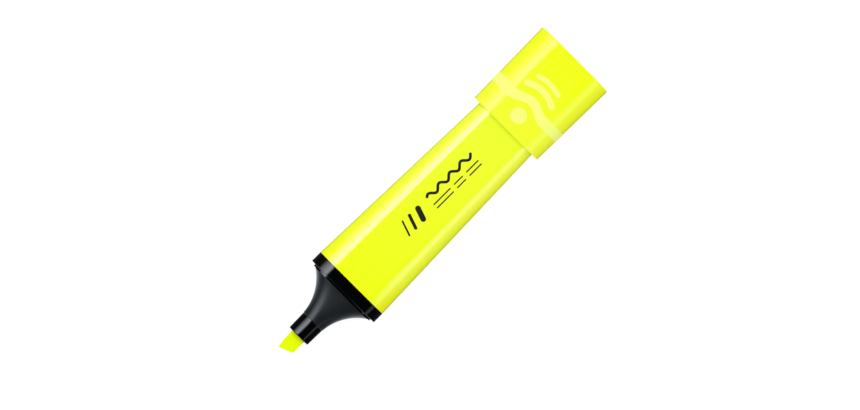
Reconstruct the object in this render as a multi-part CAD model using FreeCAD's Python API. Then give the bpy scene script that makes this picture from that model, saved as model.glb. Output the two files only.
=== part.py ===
"""A flat-barrelled highlighter pen with its cap posted on the rear end, in millimetres.

The pen is modelled along X in pen coordinates: X = 0 is the shoulder plane where the barrel meets the
black collar, +X runs to the rear and -X to the nib, and the pen's axis is the X axis. Y is across the
broad faces and Z through the thickness. Each finished piece is moved once, into the row frame, when it
is written: there the pen lies on its back face, and the origin is at the middle of its base.

Cross-sections of the barrel, collar and cap are racetracks: two parallel flats of constant length, joined
by half circles. Only the radius of those half circles changes along the pen, so one number, the radius,
sets both the width and the thickness at any station.
"""

import math
import os

import FreeCAD, Part

Vector = FreeCAD.Vector

# ---- driving dimensions -------------------------------------------------------------------------
HALF_FLAT = 6.0  # half the length of the flat of every racetrack section
WALL = 1.2  # moulded wall of the barrel and the section
SLIP = 0.03  # gap on each side of parts that are pushed together for good
EDGE = 0.3  # small moulded edge radius
GATE_R, GATE_DEPTH = 1.4, 0.2  # round recess left where the mould was filled

BARREL_LENGTH = 78.5
BARREL_FRONT_R = 7.1
BARREL_REAR_R = 4.66
BARREL_END_ROUND = 1.0
BARREL_RIB = 0.9  # thickness of the ribs that centre the reservoir
BARREL_RIB_INSET = 1.0  # how far the ribs stand in from the edges of the reservoir's flats

COLLAR_LENGTH = 3.65
COLLAR_R = BARREL_FRONT_R + 0.02
LIP_LENGTH = 0.6  # ledge in front of the collar that locates the cap's mouth
LIP_R = 5.7
PLUG_LENGTH = 9.0  # how far the section reaches into the barrel
SNAP_X, SNAP_LENGTH, SNAP_HEIGHT = 5.0, 0.8, 0.15  # bead on the plug, in a groove of the barrel
SNAP_END_SLIP = 0.1  # room at each end of the bead
PASSAGE_R = 3.2  # radius of the racetrack passage behind the lip, seen from the rear
THROAT_REAR_HALF_WIDTH, THROAT_REAR_HALF_THICK, THROAT_REAR_POWER = 8.6, 3.1, 2.4
THROAT_DEPTH = 5.5  # how far the hollow of the cone reaches in front of the lip
THROAT_WALL = 2.3  # skin and cone together at the hollow's front end
THROAT_FRONT_HALF_THICK, THROAT_FRONT_POWER = 2.4, 2.2
NIB_GUIDE_WALL = 0.9  # wall of the sleeve that steadies the nib, and of its webs
NIB_WEB_SLIP = 0.3  # how far the upright web stops short of the plug's wall
SIDE_WEB_HALF_SPAN = 10.2  # half span of the web that lies across the plug

GRIP_LENGTH = 12.15
GRIP_REAR_HALF_WIDTH = 11.16
GRIP_REAR_HALF_THICK = 5.16
GRIP_FRONT_R = 3.98
GRIP_FLARE_R = 16.0  # radius of the concave side of the grip, seen from the front
GRIP_SKIN_REAR, GRIP_SKIN_FRONT = 1.0, 0.4  # thickness of the soft skin over the section's cone
GRIP_SQUARENESS = 3.0  # superellipse power at the collar, falling to 2 (a circle) at the nozzle
GRIP_STATIONS = 9
GRIP_POINTS = 32

NOZZLE_LENGTH = 6.2
NOZZLE_REAR_R, NOZZLE_FRONT_R = 3.9, 3.78

NIB_WIDTH, NIB_THICK = 5.0, 3.6
NIB_CORNER_R = 0.6
NIB_OUT = 6.5  # how far the nib's tip stands out of the nozzle
NIB_SLANT_DEG = 22.0  # slope of the writing edge
NIB_EDGE_THICK = 1.5  # thickness left at the writing edge
NIB_BEVEL_LENGTH = 5.6  # length of the two bevels that thin the nib
NIB_SIDE_CUT = 0.55  # how far the long corner is drawn in
NIB_SIDE_CUT_LENGTH = 2.7
NIB_HEEL_CUT = 0.5  # small cut on the short corner
NIB_IN_RESERVOIR = 3.6
NIB_TAIL_TAPER = 1.2  # the rear corners are cut so that the nib enters the fibre
NIB_SLIP = 0.03
VENT_WIDTH, VENT_DEPTH = 0.6, 0.35  # air grooves along the nib's broad faces

RESERVOIR_FRONT_X, RESERVOIR_REAR_X = 3.5, 75.5
RESERVOIR_HALF_FLAT, RESERVOIR_R = 3.9, 3.3
WRAP = 0.15  # film round the fibre core

CAP_LENGTH = 29.6
CAP_MOUTH_X = 65.5  # how far behind the shoulder the posted cap's mouth stops
CAP_MOUTH_R, CAP_END_R = 7.25, 7.75
CAP_BORE_MOUTH_R, CAP_BORE_END_R = 5.86, 5.7
CAP_END_WALL = 1.3
CAP_RIB = 0.9  # thickness of the ribs that hold the barrel
CAP_RIB_START, CAP_RIB_END = 4.0, 13.6  # depths behind the mouth
CAP_RIB_OFFSET = 4.0  # the ribs on the broad faces stand this far from the middle
CAP_RIB_SLIP = 0.06
CAP_MOUTH_CHAMFER = 0.35

LINER_PLATE = 1.0
LINER_BORE_R, LINER_WALL = 3.95, 0.95
LINER_MOUTH_DEPTH = 14.2  # depth of the sealing tube's mouth behind the cap's mouth
LINER_BEAD_R = 0.12  # how far the sealing bead stands into the tube
LINER_BEAD_DEPTH = 2.2  # the bead's place behind the tube's mouth

RELIEF = 0.08  # height of the satin pattern on the cap
RELIEF_ROOT = 0.3  # how deep each raised patch is rooted in the wall
BAND_X = 9.2  # centre of the pattern's band behind the cap's mouth
BAND_WIDTH, BAND_CREST_WIDTH = 3.36, 2.8
BAND_RISE = 2.1  # how far the band's hump rises towards the closed end
BAND_HUMP_HALF = 6.5  # half the length of the hump
SPOT_X, SPOT_R = 5.4, 2.5
RIPPLES = ((10.3, 1.9, 5.2), (13.3, 1.5, 4.1))  # radius about the spot, width, half span

# ---- stations that follow from the dimensions ----------------------------------------------------
COLLAR_FRONT_X = -COLLAR_LENGTH
LIP_FRONT_X = COLLAR_FRONT_X - LIP_LENGTH
GRIP_FRONT_X = LIP_FRONT_X - GRIP_LENGTH
NOZZLE_FRONT_X = GRIP_FRONT_X - NOZZLE_LENGTH
NIB_TIP_X = NOZZLE_FRONT_X - NIB_OUT
NIB_REAR_X = RESERVOIR_FRONT_X + NIB_IN_RESERVOIR
CAP_END_X = CAP_MOUTH_X + CAP_LENGTH
CAP_BORE_END_X = CAP_END_X - CAP_END_WALL
LINER_MOUTH_X = CAP_MOUTH_X + LINER_MOUTH_DEPTH

ROW_SHIFT = Vector(-(NIB_TIP_X + CAP_END_X) / 2, 0, CAP_END_R)


def between(x, x0, x1, v0, v1):
    """The value at x of a line from v0 at x0 to v1 at x1."""
    return v0 + (v1 - v0) * (x - x0) / (x1 - x0)


def barrel_r(x):
    """Radius of the barrel's outer racetrack at station x."""
    return between(x, 0, BARREL_LENGTH, BARREL_FRONT_R, BARREL_REAR_R)


def cap_r(x):
    """Radius of the cap's outer racetrack at station x."""
    return between(x, CAP_MOUTH_X, CAP_END_X, CAP_MOUTH_R, CAP_END_R)


def cap_bore_r(x):
    """Radius of the cap's inner racetrack at station x."""
    return between(x, CAP_MOUTH_X, CAP_BORE_END_X, CAP_BORE_MOUTH_R, CAP_BORE_END_R)


# ---- shape helpers --------------------------------------------------------------------------------
def racetrack(x, radius, half_flat=HALF_FLAT):
    """A closed racetrack wire square to the pen's axis at station x."""
    upper = [Vector(x, y, radius) for y in (-half_flat, half_flat)]
    lower = [Vector(x, y, -radius) for y in (half_flat, -half_flat)]
    right, left = (Vector(x, s * (half_flat + radius), 0) for s in (1, -1))
    return Part.Wire(
        [
            Part.makeLine(upper[0], upper[1]),
            Part.Arc(upper[1], right, lower[0]).toShape(),
            Part.makeLine(lower[0], lower[1]),
            Part.Arc(lower[1], left, upper[0]).toShape(),
        ]
    )


def racetrack_solid(*stations, half_flat=HALF_FLAT):
    """A solid through (x, radius) stations, straight from each to the next."""
    return Part.makeLoft([racetrack(x, r, half_flat) for x, r in stations], True, True)


def superellipse(x, half_width, half_thick, power):
    """A closed smooth wire between a circle (power 2) and a rounded rectangle."""
    points = []
    for k in range(GRIP_POINTS):
        turn = 2 * math.pi * k / GRIP_POINTS
        c, s = math.cos(turn), math.sin(turn)
        y = half_width * math.copysign(abs(c) ** (2 / power), c)
        z = half_thick * math.copysign(abs(s) ** (2 / power), s)
        points.append(Vector(x, y, z))
    curve = Part.BSplineCurve()
    curve.interpolate(Points=points, PeriodicFlag=True)
    return Part.Wire(curve.toShape())


def block(x0, x1, y0, y1, z0, z1):
    """A box between two opposite corners."""
    return Part.makeBox(x1 - x0, y1 - y0, z1 - z0, Vector(x0, y0, z0))


def prism(wire, direction):
    """A solid pushed out of a flat closed wire."""
    return Part.Face(wire).extrude(direction)


def polygon(points):
    return Part.makePolygon(points + points[:1])


def edges_at(shape, x):
    """The edges of a shape that lie wholly in the plane at station x."""
    return [e for e in shape.Edges if all(abs(v.X - x) < 1e-6 for v in e.Vertexes)]


def gate_recess(x):
    """The shallow round recess in the middle of a moulding's closed end at station x."""
    return Part.makeCylinder(GATE_R, 2 * GATE_DEPTH, Vector(x - GATE_DEPTH, 0, 0), Vector(1, 0, 0))


def joined(first, *others):
    """One fused solid without the seams between coplanar faces."""
    return first.fuse(list(others)).removeSplitter()


# ---- the grip's flare, shared by the soft skin and the section's cone under it -----------------------
def flare_half_width(x):
    """Half width of the grip at station x: a concave arc from the collar to the nozzle."""
    rear = Vector(-LIP_FRONT_X, GRIP_REAR_HALF_WIDTH, 0)
    front = Vector(-GRIP_FRONT_X, GRIP_FRONT_R, 0)
    chord = front - rear
    middle = (rear + front) / 2
    to_centre = Vector(-chord.y, chord.x, 0).normalize()
    sagitta_arm = math.sqrt(GRIP_FLARE_R**2 - (chord.Length / 2) ** 2)
    centre = middle + to_centre * sagitta_arm
    return centre.y - math.sqrt(GRIP_FLARE_R**2 - (-x - centre.x) ** 2)


def flare_half_thick(x):
    """Half thickness of the grip at station x: it follows the width, eased from rear to front."""
    share = max(0.0, between(flare_half_width(x), GRIP_FRONT_R, GRIP_REAR_HALF_WIDTH, 0, 1))
    return GRIP_FRONT_R + (GRIP_REAR_HALF_THICK - GRIP_FRONT_R) * share**0.8


def flare_solid(inset_rear, inset_front):
    """The flared body of the grip, drawn in by an amount that runs from rear to front."""
    wires = []
    for k in range(GRIP_STATIONS):
        x = between(k, 0, GRIP_STATIONS - 1, LIP_FRONT_X, GRIP_FRONT_X)
        inset = between(k, 0, GRIP_STATIONS - 1, inset_rear, inset_front)
        power = between(k, 0, GRIP_STATIONS - 1, GRIP_SQUARENESS, 2)
        wires.append(superellipse(x, flare_half_width(x) - inset, flare_half_thick(x) - inset, power))
    return Part.makeLoft(wires, True, False)


# ---- pieces -------------------------------------------------------------------------------------
def nib_section(x, slip=0.0):
    """The nib's rounded rectangular section at station x."""
    w, t, r = NIB_WIDTH / 2 + slip, NIB_THICK / 2 + slip, NIB_CORNER_R
    corner = r * math.sin(math.pi / 4)
    edges = []
    for y_sign, z_sign in ((1, 1), (1, -1), (-1, -1), (-1, 1)):
        side = Vector(x, y_sign * w, z_sign * (t - r))
        face = Vector(x, y_sign * (w - r), z_sign * t)
        bend = Vector(x, y_sign * (w - r + corner), z_sign * (t - r + corner))
        start, end = (face, side) if y_sign == z_sign else (side, face)
        if edges:
            edges.append(Part.makeLine(edges[-1].lastVertex(True).Point, start))
        edges.append(Part.Arc(start, bend, end).toShape())
    edges.append(Part.makeLine(edges[-1].lastVertex(True).Point, edges[0].firstVertex(True).Point))
    return Part.Wire(edges)


def make_nib():
    """Bonded fibre nib: a rounded bar with a slanted, bevelled writing edge in front."""
    bar = prism(nib_section(NIB_TIP_X), Vector(NIB_REAR_X - NIB_TIP_X, 0, 0))
    w = NIB_WIDTH / 2
    long_y, short_y = w - NIB_SIDE_CUT, -w
    slant = math.tan(math.radians(NIB_SLANT_DEG))
    heel_x = NIB_TIP_X + slant * (long_y - short_y)
    tail = NIB_TAIL_TAPER
    plan = polygon(
        [
            Vector(NIB_TIP_X, long_y, -w),
            Vector(NIB_TIP_X + NIB_SIDE_CUT_LENGTH, w, -w),
            Vector(NIB_REAR_X - tail, w, -w),
            Vector(NIB_REAR_X, w - tail, -w),
            Vector(NIB_REAR_X, -w + tail, -w),
            Vector(NIB_REAR_X - tail, -w, -w),
            Vector(heel_x + NIB_HEEL_CUT, short_y, -w),
            Vector(heel_x - slant * NIB_HEEL_CUT, short_y + NIB_HEEL_CUT, -w),
        ]
    )
    half, edge = NIB_THICK / 2, NIB_EDGE_THICK / 2
    side = polygon(
        [
            Vector(NIB_TIP_X, -w, -edge),
            Vector(NIB_TIP_X, -w, edge),
            Vector(NIB_TIP_X + NIB_BEVEL_LENGTH, -w, half),
            Vector(NIB_REAR_X, -w, half),
            Vector(NIB_REAR_X, -w, -half),
            Vector(NIB_TIP_X + NIB_BEVEL_LENGTH, -w, -half),
        ]
    )
    cut_plan = prism(plan, Vector(0, 0, NIB_WIDTH))
    cut_side = prism(side, Vector(0, NIB_WIDTH, 0))
    return bar.common(cut_plan).common(cut_side)


def make_reservoir(nib):
    """Fibre core that holds the ink, with the pocket that the nib's tail presses into it."""
    core = racetrack_solid(
        (RESERVOIR_FRONT_X, RESERVOIR_R), (RESERVOIR_REAR_X, RESERVOIR_R), half_flat=RESERVOIR_HALF_FLAT
    )
    return core.cut(nib)


def make_reservoir_wrap():
    """Thin film tube round the fibre core, open at both ends."""
    ends = RESERVOIR_FRONT_X, RESERVOIR_REAR_X
    outer, inner = (
        racetrack_solid(*((x, r) for x in ends), half_flat=RESERVOIR_HALF_FLAT)
        for r in (RESERVOIR_R + WRAP, RESERVOIR_R)
    )
    return outer.cut(inner)


def make_barrel():
    """Tapered shell, closed and rounded at the rear, with ribs that centre the reservoir."""
    outer = racetrack_solid((0, BARREL_FRONT_R), (BARREL_LENGTH, BARREL_REAR_R))
    outer = outer.makeFillet(BARREL_END_ROUND, edges_at(outer, BARREL_LENGTH))
    outer = outer.cut(gate_recess(BARREL_LENGTH))
    floor_x = BARREL_LENGTH - WALL
    cavity = racetrack_solid((0, barrel_r(0) - WALL), (floor_x, barrel_r(floor_x) - WALL))
    shell = outer.cut(cavity)
    ribs = []
    rib_front = PLUG_LENGTH + 1.0
    hold = RESERVOIR_R + WRAP + SLIP  # half thickness that the ribs leave for the reservoir
    half = BARREL_RIB / 2
    rib_y = RESERVOIR_HALF_FLAT - BARREL_RIB_INSET
    for y in (-rib_y, rib_y):
        for top in (1, -1):
            z0, z1 = sorted((top * hold, top * BARREL_FRONT_R))
            ribs.append(block(rib_front, floor_x + WALL / 2, y - half, y + half, z0, z1))
    reach = HALF_FLAT + BARREL_FRONT_R
    for side in (1, -1):
        y0, y1 = sorted((side * (RESERVOIR_HALF_FLAT + hold), side * reach))
        ribs.append(block(rib_front, floor_x + WALL / 2, y0, y1, -half, half))
    inside = racetrack_solid(
        (rib_front - 1, barrel_r(rib_front - 1) - WALL / 2),
        (floor_x + WALL / 2, barrel_r(floor_x + WALL / 2) - WALL / 2),
    )
    shell = joined(shell, *[r.common(inside) for r in ribs])
    groove_r = barrel_r(SNAP_X) - WALL + SNAP_HEIGHT + SLIP
    groove = racetrack_solid(
        (SNAP_X - SNAP_END_SLIP, groove_r), (SNAP_X + SNAP_LENGTH + SNAP_END_SLIP, groove_r)
    )
    return shell.cut(groove)


def section_body():
    """Outside of the black moulding: plug with its snap bead, collar, lip, cone and nozzle, all solid."""
    plug_front_r = barrel_r(0) - WALL - SLIP
    plug = racetrack_solid((-EDGE, plug_front_r), (PLUG_LENGTH, plug_rear_r()))
    bead_r = barrel_r(SNAP_X) - WALL + SNAP_HEIGHT - SLIP
    bead = racetrack_solid((SNAP_X, bead_r), (SNAP_X + SNAP_LENGTH, bead_r))
    collar = racetrack_solid((COLLAR_FRONT_X, COLLAR_R), (0, COLLAR_R))
    collar = collar.makeFillet(EDGE / 2, edges_at(collar, COLLAR_FRONT_X))
    lip = racetrack_solid((LIP_FRONT_X, LIP_R), (COLLAR_FRONT_X + EDGE, LIP_R))
    cone = flare_solid(GRIP_SKIN_REAR + SLIP, GRIP_SKIN_FRONT + SLIP)
    nozzle = Part.makeCone(
        NOZZLE_FRONT_R, NOZZLE_REAR_R, NOZZLE_LENGTH, Vector(NOZZLE_FRONT_X, 0, 0), Vector(1, 0, 0)
    )
    nozzle = nozzle.makeFillet(EDGE, edges_at(nozzle, NOZZLE_FRONT_X))
    return joined(plug, bead, collar, lip, cone, nozzle)


def plug_rear_r():
    """Radius of the plug's racetrack at its rear end, inside the barrel's taper."""
    return barrel_r(PLUG_LENGTH) - WALL - SLIP


def section_hollow():
    """Inside of the moulding: the passage through the plug, and the hollow of the cone in front of it."""
    passage = racetrack_solid((LIP_FRONT_X, PASSAGE_R), (PLUG_LENGTH + EDGE, plug_rear_r() - WALL))
    front_x = LIP_FRONT_X - THROAT_DEPTH
    rear = superellipse(
        LIP_FRONT_X + EDGE, THROAT_REAR_HALF_WIDTH, THROAT_REAR_HALF_THICK, THROAT_REAR_POWER
    )
    front = superellipse(
        front_x, flare_half_width(front_x) - THROAT_WALL, THROAT_FRONT_HALF_THICK, THROAT_FRONT_POWER
    )
    return [passage, Part.makeLoft([rear, front], True, True)]


def nib_guide():
    """The sleeve that steadies the nib behind the cone, held in the passage by two crossed webs."""
    rear_x = RESERVOIR_FRONT_X - NIB_GUIDE_WALL / 2
    half_width = NIB_WIDTH / 2 + NIB_GUIDE_WALL
    half_thick = NIB_THICK / 2 + NIB_GUIDE_WALL
    front_x = LIP_FRONT_X - THROAT_DEPTH - NIB_GUIDE_WALL / 2
    half = NIB_GUIDE_WALL / 2
    tall = plug_rear_r() - NIB_WEB_SLIP
    return [
        block(front_x, rear_x, -half_width, half_width, -half_thick, half_thick),
        block(COLLAR_FRONT_X, rear_x, -half, half, -tall, tall),
        block(COLLAR_FRONT_X, rear_x, -SIDE_WEB_HALF_SPAN, SIDE_WEB_HALF_SPAN, -half, half),
    ]


def air_vents():
    """Grooves along the nib's broad faces that let air reach the reservoir as ink flows out."""
    vents = []
    x0, x1 = NOZZLE_FRONT_X - EDGE, RESERVOIR_FRONT_X
    for y in (-NIB_WIDTH / 4, NIB_WIDTH / 4):
        for side in (1, -1):
            z0, z1 = sorted((side * (NIB_THICK / 2 - VENT_DEPTH), side * (NIB_THICK / 2 + VENT_DEPTH)))
            vents.append(block(x0, x1, y - VENT_WIDTH / 2, y + VENT_WIDTH / 2, z0, z1))
    return vents


def make_front_section():
    """Black moulding: plug, collar, lip, the cone under the grip, and the nozzle that holds the nib."""
    body = section_body().cut(section_hollow())
    body = joined(body, *nib_guide())
    bore_x0, bore_x1 = NOZZLE_FRONT_X - EDGE, RESERVOIR_FRONT_X
    nib_bore = prism(nib_section(bore_x0, NIB_SLIP), Vector(bore_x1 - bore_x0, 0, 0))
    return body.cut([nib_bore, *air_vents()])


def make_grip_sleeve():
    """Soft skin moulded over the section's cone, flush with the lip and the nozzle."""
    return flare_solid(0, 0).cut(flare_solid(GRIP_SKIN_REAR, GRIP_SKIN_FRONT))


def band_edge(side):
    """One edge of the pattern's band, seen from the front, as a smooth curve across the cap."""
    far = HALF_FLAT + CAP_END_R + 1.0
    steps = 6
    points = [Vector(CAP_MOUTH_X + BAND_X + side * BAND_WIDTH / 2, -BAND_HUMP_HALF, 0)]
    for k in range(-steps + 1, steps):
        y = BAND_HUMP_HALF * k / steps
        lift = (1 + math.cos(math.pi * y / BAND_HUMP_HALF)) / 2
        width = BAND_WIDTH + (BAND_CREST_WIDTH - BAND_WIDTH) * lift
        points.append(Vector(CAP_MOUTH_X + BAND_X + BAND_RISE * lift + side * width / 2, y, 0))
    points.append(Vector(points[0].x, BAND_HUMP_HALF, 0))
    hump = Part.BSplineCurve()
    hump.interpolate(Points=points, InitialTangent=Vector(0, 1, 0), FinalTangent=Vector(0, 1, 0))
    start, end = Vector(points[0].x, -far, 0), Vector(points[0].x, far, 0)
    return [Part.makeLine(start, points[0]), hump.toShape(), Part.makeLine(points[-1], end)]


def band_plan():
    """The pattern's band as a flat wire: straight round the sides, with a hump across each broad face."""
    front, rear = band_edge(-1), band_edge(1)
    first = Part.makeLine(front[0].Vertexes[0].Point, rear[0].Vertexes[0].Point)
    last = Part.makeLine(front[-1].Vertexes[-1].Point, rear[-1].Vertexes[-1].Point)
    return Part.Wire(Part.sortEdges([*front, *rear, first, last])[0])


def ripple_plan(radius, width, half_span):
    """One grip arc about the spot, as a flat wire with round ends."""
    centre = Vector(CAP_MOUTH_X + SPOT_X, 0, 0)
    reach = math.asin(half_span / radius)

    def at(r, turn):
        return centre + Vector(r * math.cos(turn), r * math.sin(turn), 0)

    inner, outer = radius - width / 2, radius + width / 2
    cap_turn = width / 2 / radius
    return Part.Wire(
        [
            Part.Arc(at(outer, -reach), at(outer, 0), at(outer, reach)).toShape(),
            Part.Arc(at(outer, reach), at(radius, reach + cap_turn), at(inner, reach)).toShape(),
            Part.Arc(at(inner, reach), at(inner, 0), at(inner, -reach)).toShape(),
            Part.Arc(at(inner, -reach), at(radius, -reach - cap_turn), at(outer, -reach)).toShape(),
        ]
    )


def relief_pattern():
    """Every raised patch of the cap's pattern, cut from a skin that stands RELIEF above the cap."""
    x0, x1 = CAP_MOUTH_X, CAP_END_X
    skin = racetrack_solid((x0, cap_r(x0) + RELIEF), (x1, cap_r(x1) + RELIEF))
    core = racetrack_solid((x0, cap_r(x0) - RELIEF_ROOT), (x1, cap_r(x1) - RELIEF_ROOT))
    spot = Part.Wire(Part.makeCircle(SPOT_R, Vector(CAP_MOUTH_X + SPOT_X, 0, 0)))
    plans = [band_plan(), spot, *(ripple_plan(*r) for r in RIPPLES)]
    depth = 2 * CAP_END_R + 2
    patches = []
    for plan in plans:
        plan.translate(Vector(0, 0, -depth / 2))
        patches.append(prism(plan, Vector(0, 0, depth)).common(skin).cut(core))
    return patches


def cap_ribs():
    """Six ribs inside the cap: their crests follow the barrel's taper and hold the cap on it."""
    x0, x1 = CAP_MOUTH_X + CAP_RIB_START, CAP_MOUTH_X + CAP_RIB_END
    half = CAP_RIB / 2
    across, reach = CAP_END_R, HALF_FLAT + CAP_END_R
    bars = [
        block(x0, x1, y - half, y + half, -across, across) for y in (-CAP_RIB_OFFSET, CAP_RIB_OFFSET)
    ]
    bars.append(block(x0, x1, -reach, reach, -half, half))
    root = racetrack_solid((x0, cap_bore_r(x0) + WALL / 2), (x1, cap_bore_r(x1) + WALL / 2))
    posted = racetrack_solid((x0, barrel_r(x0) + CAP_RIB_SLIP), (x1, barrel_r(x1) + CAP_RIB_SLIP))
    ring = root.cut(posted)
    return [bar.common(ring) for bar in bars]


def make_cap_shell():
    """Flat cap: racetrack shell with a satin pattern outside and ribs inside that grip the barrel."""
    outer = racetrack_solid((CAP_MOUTH_X, CAP_MOUTH_R), (CAP_END_X, CAP_END_R))
    outer = outer.makeFillet(EDGE, edges_at(outer, CAP_END_X))
    bore = racetrack_solid((CAP_MOUTH_X, CAP_BORE_MOUTH_R), (CAP_BORE_END_X, CAP_BORE_END_R))
    lead_in = racetrack_solid(
        (CAP_MOUTH_X, CAP_BORE_MOUTH_R + CAP_MOUTH_CHAMFER),
        (CAP_MOUTH_X + CAP_MOUTH_CHAMFER, CAP_BORE_MOUTH_R),
    )
    shell = outer.cut([bore, lead_in, gate_recess(CAP_END_X)])
    return joined(shell, *cap_ribs(), *relief_pattern())


def make_cap_liner():
    """Inner cap: a plate pressed against the cap's end, with the tube that seals round the nozzle."""
    plate_x0 = CAP_BORE_END_X - SLIP - LINER_PLATE
    plate_x1 = plate_x0 + LINER_PLATE
    plate = racetrack_solid(*((x, cap_bore_r(x) - SLIP) for x in (plate_x0, plate_x1)))
    depth = plate_x0 - LINER_MOUTH_X
    mouth, along = Vector(LINER_MOUTH_X, 0, 0), Vector(1, 0, 0)
    tube = Part.makeCylinder(LINER_BORE_R + LINER_WALL, depth + LINER_PLATE / 2, mouth, along)
    bore = Part.makeCylinder(LINER_BORE_R, depth, mouth, along)
    lead_in = Part.makeCone(LINER_BORE_R + LINER_WALL / 2, LINER_BORE_R, LINER_WALL, mouth, along)
    bead_centre = Vector(LINER_MOUTH_X + LINER_BEAD_DEPTH, 0, 0)
    bead = Part.makeTorus(LINER_BORE_R + LINER_BEAD_R, 2 * LINER_BEAD_R, bead_centre, along)
    return joined(joined(plate, tube).cut([bore, lead_in]), bead)


def write(node, shape):
    """Checks a piece, moves it into the row frame and writes its STEP file."""
    shape = shape.copy()
    shape.translate(ROW_SHIFT)
    solids = shape.Solids
    assert solids and shape.isValid() and shape.Volume > 0, f"{node} is not a sound solid"
    made = solids[0] if len(solids) == 1 else Part.makeCompound(solids)
    made.exportStep(f"parts/{node}.step")
    print(f"{node}: {len(solids)} solid, {shape.Volume:.0f} mm3")


def main():
    os.makedirs("parts", exist_ok=True)
    nib = make_nib()
    write("barrel", make_barrel())
    write("front_section", make_front_section())
    write("grip_sleeve", make_grip_sleeve())
    write("nib", nib)
    write("ink_reservoir", make_reservoir(nib))
    write("reservoir_wrap", make_reservoir_wrap())
    write("cap_shell", make_cap_shell())
    write("cap_liner", make_cap_liner())


main()
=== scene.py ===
# %% [markdown]
# # A flat highlighter, uncapped, with its cap on its tail
#
# The pen is a handful of mouldings: a yellow barrel, a black front end, a soft charcoal grip, a fibre nib
# and a yellow cap. Its sizes come from a fixed frame of CAD parts. This lesson builds the surfaces that
# show, gives every piece its finish, and lights it on a pale table.

import math

import bmesh
import bpy
from mathutils import Matrix, Vector, noise


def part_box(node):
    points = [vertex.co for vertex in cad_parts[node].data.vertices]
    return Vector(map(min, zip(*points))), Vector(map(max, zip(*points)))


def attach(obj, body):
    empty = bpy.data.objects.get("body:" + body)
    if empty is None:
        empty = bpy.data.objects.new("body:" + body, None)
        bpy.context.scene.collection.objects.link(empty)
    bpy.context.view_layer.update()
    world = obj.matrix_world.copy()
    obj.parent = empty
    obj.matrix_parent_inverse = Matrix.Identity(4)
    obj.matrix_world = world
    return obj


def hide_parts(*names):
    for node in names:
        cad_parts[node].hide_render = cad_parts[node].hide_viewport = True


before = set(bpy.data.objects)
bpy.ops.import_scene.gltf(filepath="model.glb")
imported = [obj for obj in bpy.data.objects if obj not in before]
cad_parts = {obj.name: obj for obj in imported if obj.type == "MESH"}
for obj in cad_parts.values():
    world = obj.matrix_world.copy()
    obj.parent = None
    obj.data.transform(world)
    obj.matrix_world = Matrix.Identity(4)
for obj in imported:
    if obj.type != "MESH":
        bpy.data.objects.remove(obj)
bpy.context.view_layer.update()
print("CAD parts:", ", ".join(sorted(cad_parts)))

# %% [markdown]
# ## Where things are
#
# A maker measures a pen from one shoulder. Here that is the plane where the yellow barrel meets the black
# collar: positions along the pen are millimetres behind it, and nib-side positions are negative. The frame
# says where that plane and the pen's axis lie, so every point below is written once, in the pen's own
# terms, and moved into place by one offset.

# %% Stations and radii, read from the frame or named once
MM = 0.001

barrel_low, barrel_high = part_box("barrel")
cap_low, cap_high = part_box("cap_shell")
grip_low, grip_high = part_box("grip_sleeve")
nib_low, nib_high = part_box("nib")

SHOULDER = barrel_low.x
AXIS_Z = (barrel_low.z + barrel_high.z) / 2
PEN = Vector((SHOULDER, 0, AXIS_Z))


def station(x):
    """A place of the frame as millimetres behind the shoulder."""
    return (x - SHOULDER) / MM


BARREL_LENGTH = station(barrel_high.x)
BARREL_FRONT_R = (barrel_high.z - barrel_low.z) / 2 / MM
HALF_FLAT = 6.0
BARREL_REAR_R = 4.66
WALL = 1.2

CAP_MOUTH = station(cap_low.x)
CAP_END = station(cap_high.x)
CAP_MOUTH_R = 7.25
CAP_END_R = 7.75
CAP_BORE_MOUTH_R = 5.86
CAP_BORE_END_R = 5.7
CAP_END_WALL = 1.3

GATE_R = 1.4
GATE_DEPTH = 0.2
GATE_SIDES = 48


def between(x, x0, x1, v0, v1):
    """The value at x of a straight line from v0 at x0 to v1 at x1."""
    return v0 + (v1 - v0) * (x - x0) / (x1 - x0)


def barrel_r(x):
    return between(x, 0, BARREL_LENGTH, BARREL_FRONT_R, BARREL_REAR_R)


def cap_r(x):
    return between(x, CAP_MOUTH, CAP_END, CAP_MOUTH_R, CAP_END_R)


def cap_bore_r(x):
    return between(x, CAP_MOUTH, CAP_END - CAP_END_WALL, CAP_BORE_MOUTH_R, CAP_BORE_END_R)


print(f"barrel {BARREL_LENGTH:.1f} mm long with a flat of {2 * HALF_FLAT:.1f} mm")
print(f"cap {CAP_END - CAP_MOUTH:.1f} mm long")

# %% [markdown]
# ## Writing node trees as sums
#
# Both a finish and a shape are made of nodes here. Adding nodes one by one hides the idea behind the
# plumbing, so a small class wraps the output of a node: writing `1 - mask * 0.5` adds the Math nodes.
# Vectors go through Vector Math and colours through Mix, because a Math node would turn a colour grey.

# %% A wire that does arithmetic, and a net that adds nodes
class Wire:
    """The output of a node. It takes part in sums as a number or a vector would."""

    def __init__(self, net, socket):
        self.net = net
        self.socket = socket

    def __add__(self, other):
        return self.net.math("ADD", self, other)

    def __sub__(self, other):
        return self.net.math("SUBTRACT", self, other)

    def __rsub__(self, other):
        return self.net.math("SUBTRACT", other, self)

    def __mul__(self, other):
        return self.net.math("MULTIPLY", self, other)

    def __truediv__(self, other):
        return self.net.math("DIVIDE", self, other)

    def __rtruediv__(self, other):
        return self.net.math("DIVIDE", other, self)

    def __pow__(self, other):
        return self.net.math("POWER", self, other)

    __radd__ = __add__
    __rmul__ = __mul__


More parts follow.
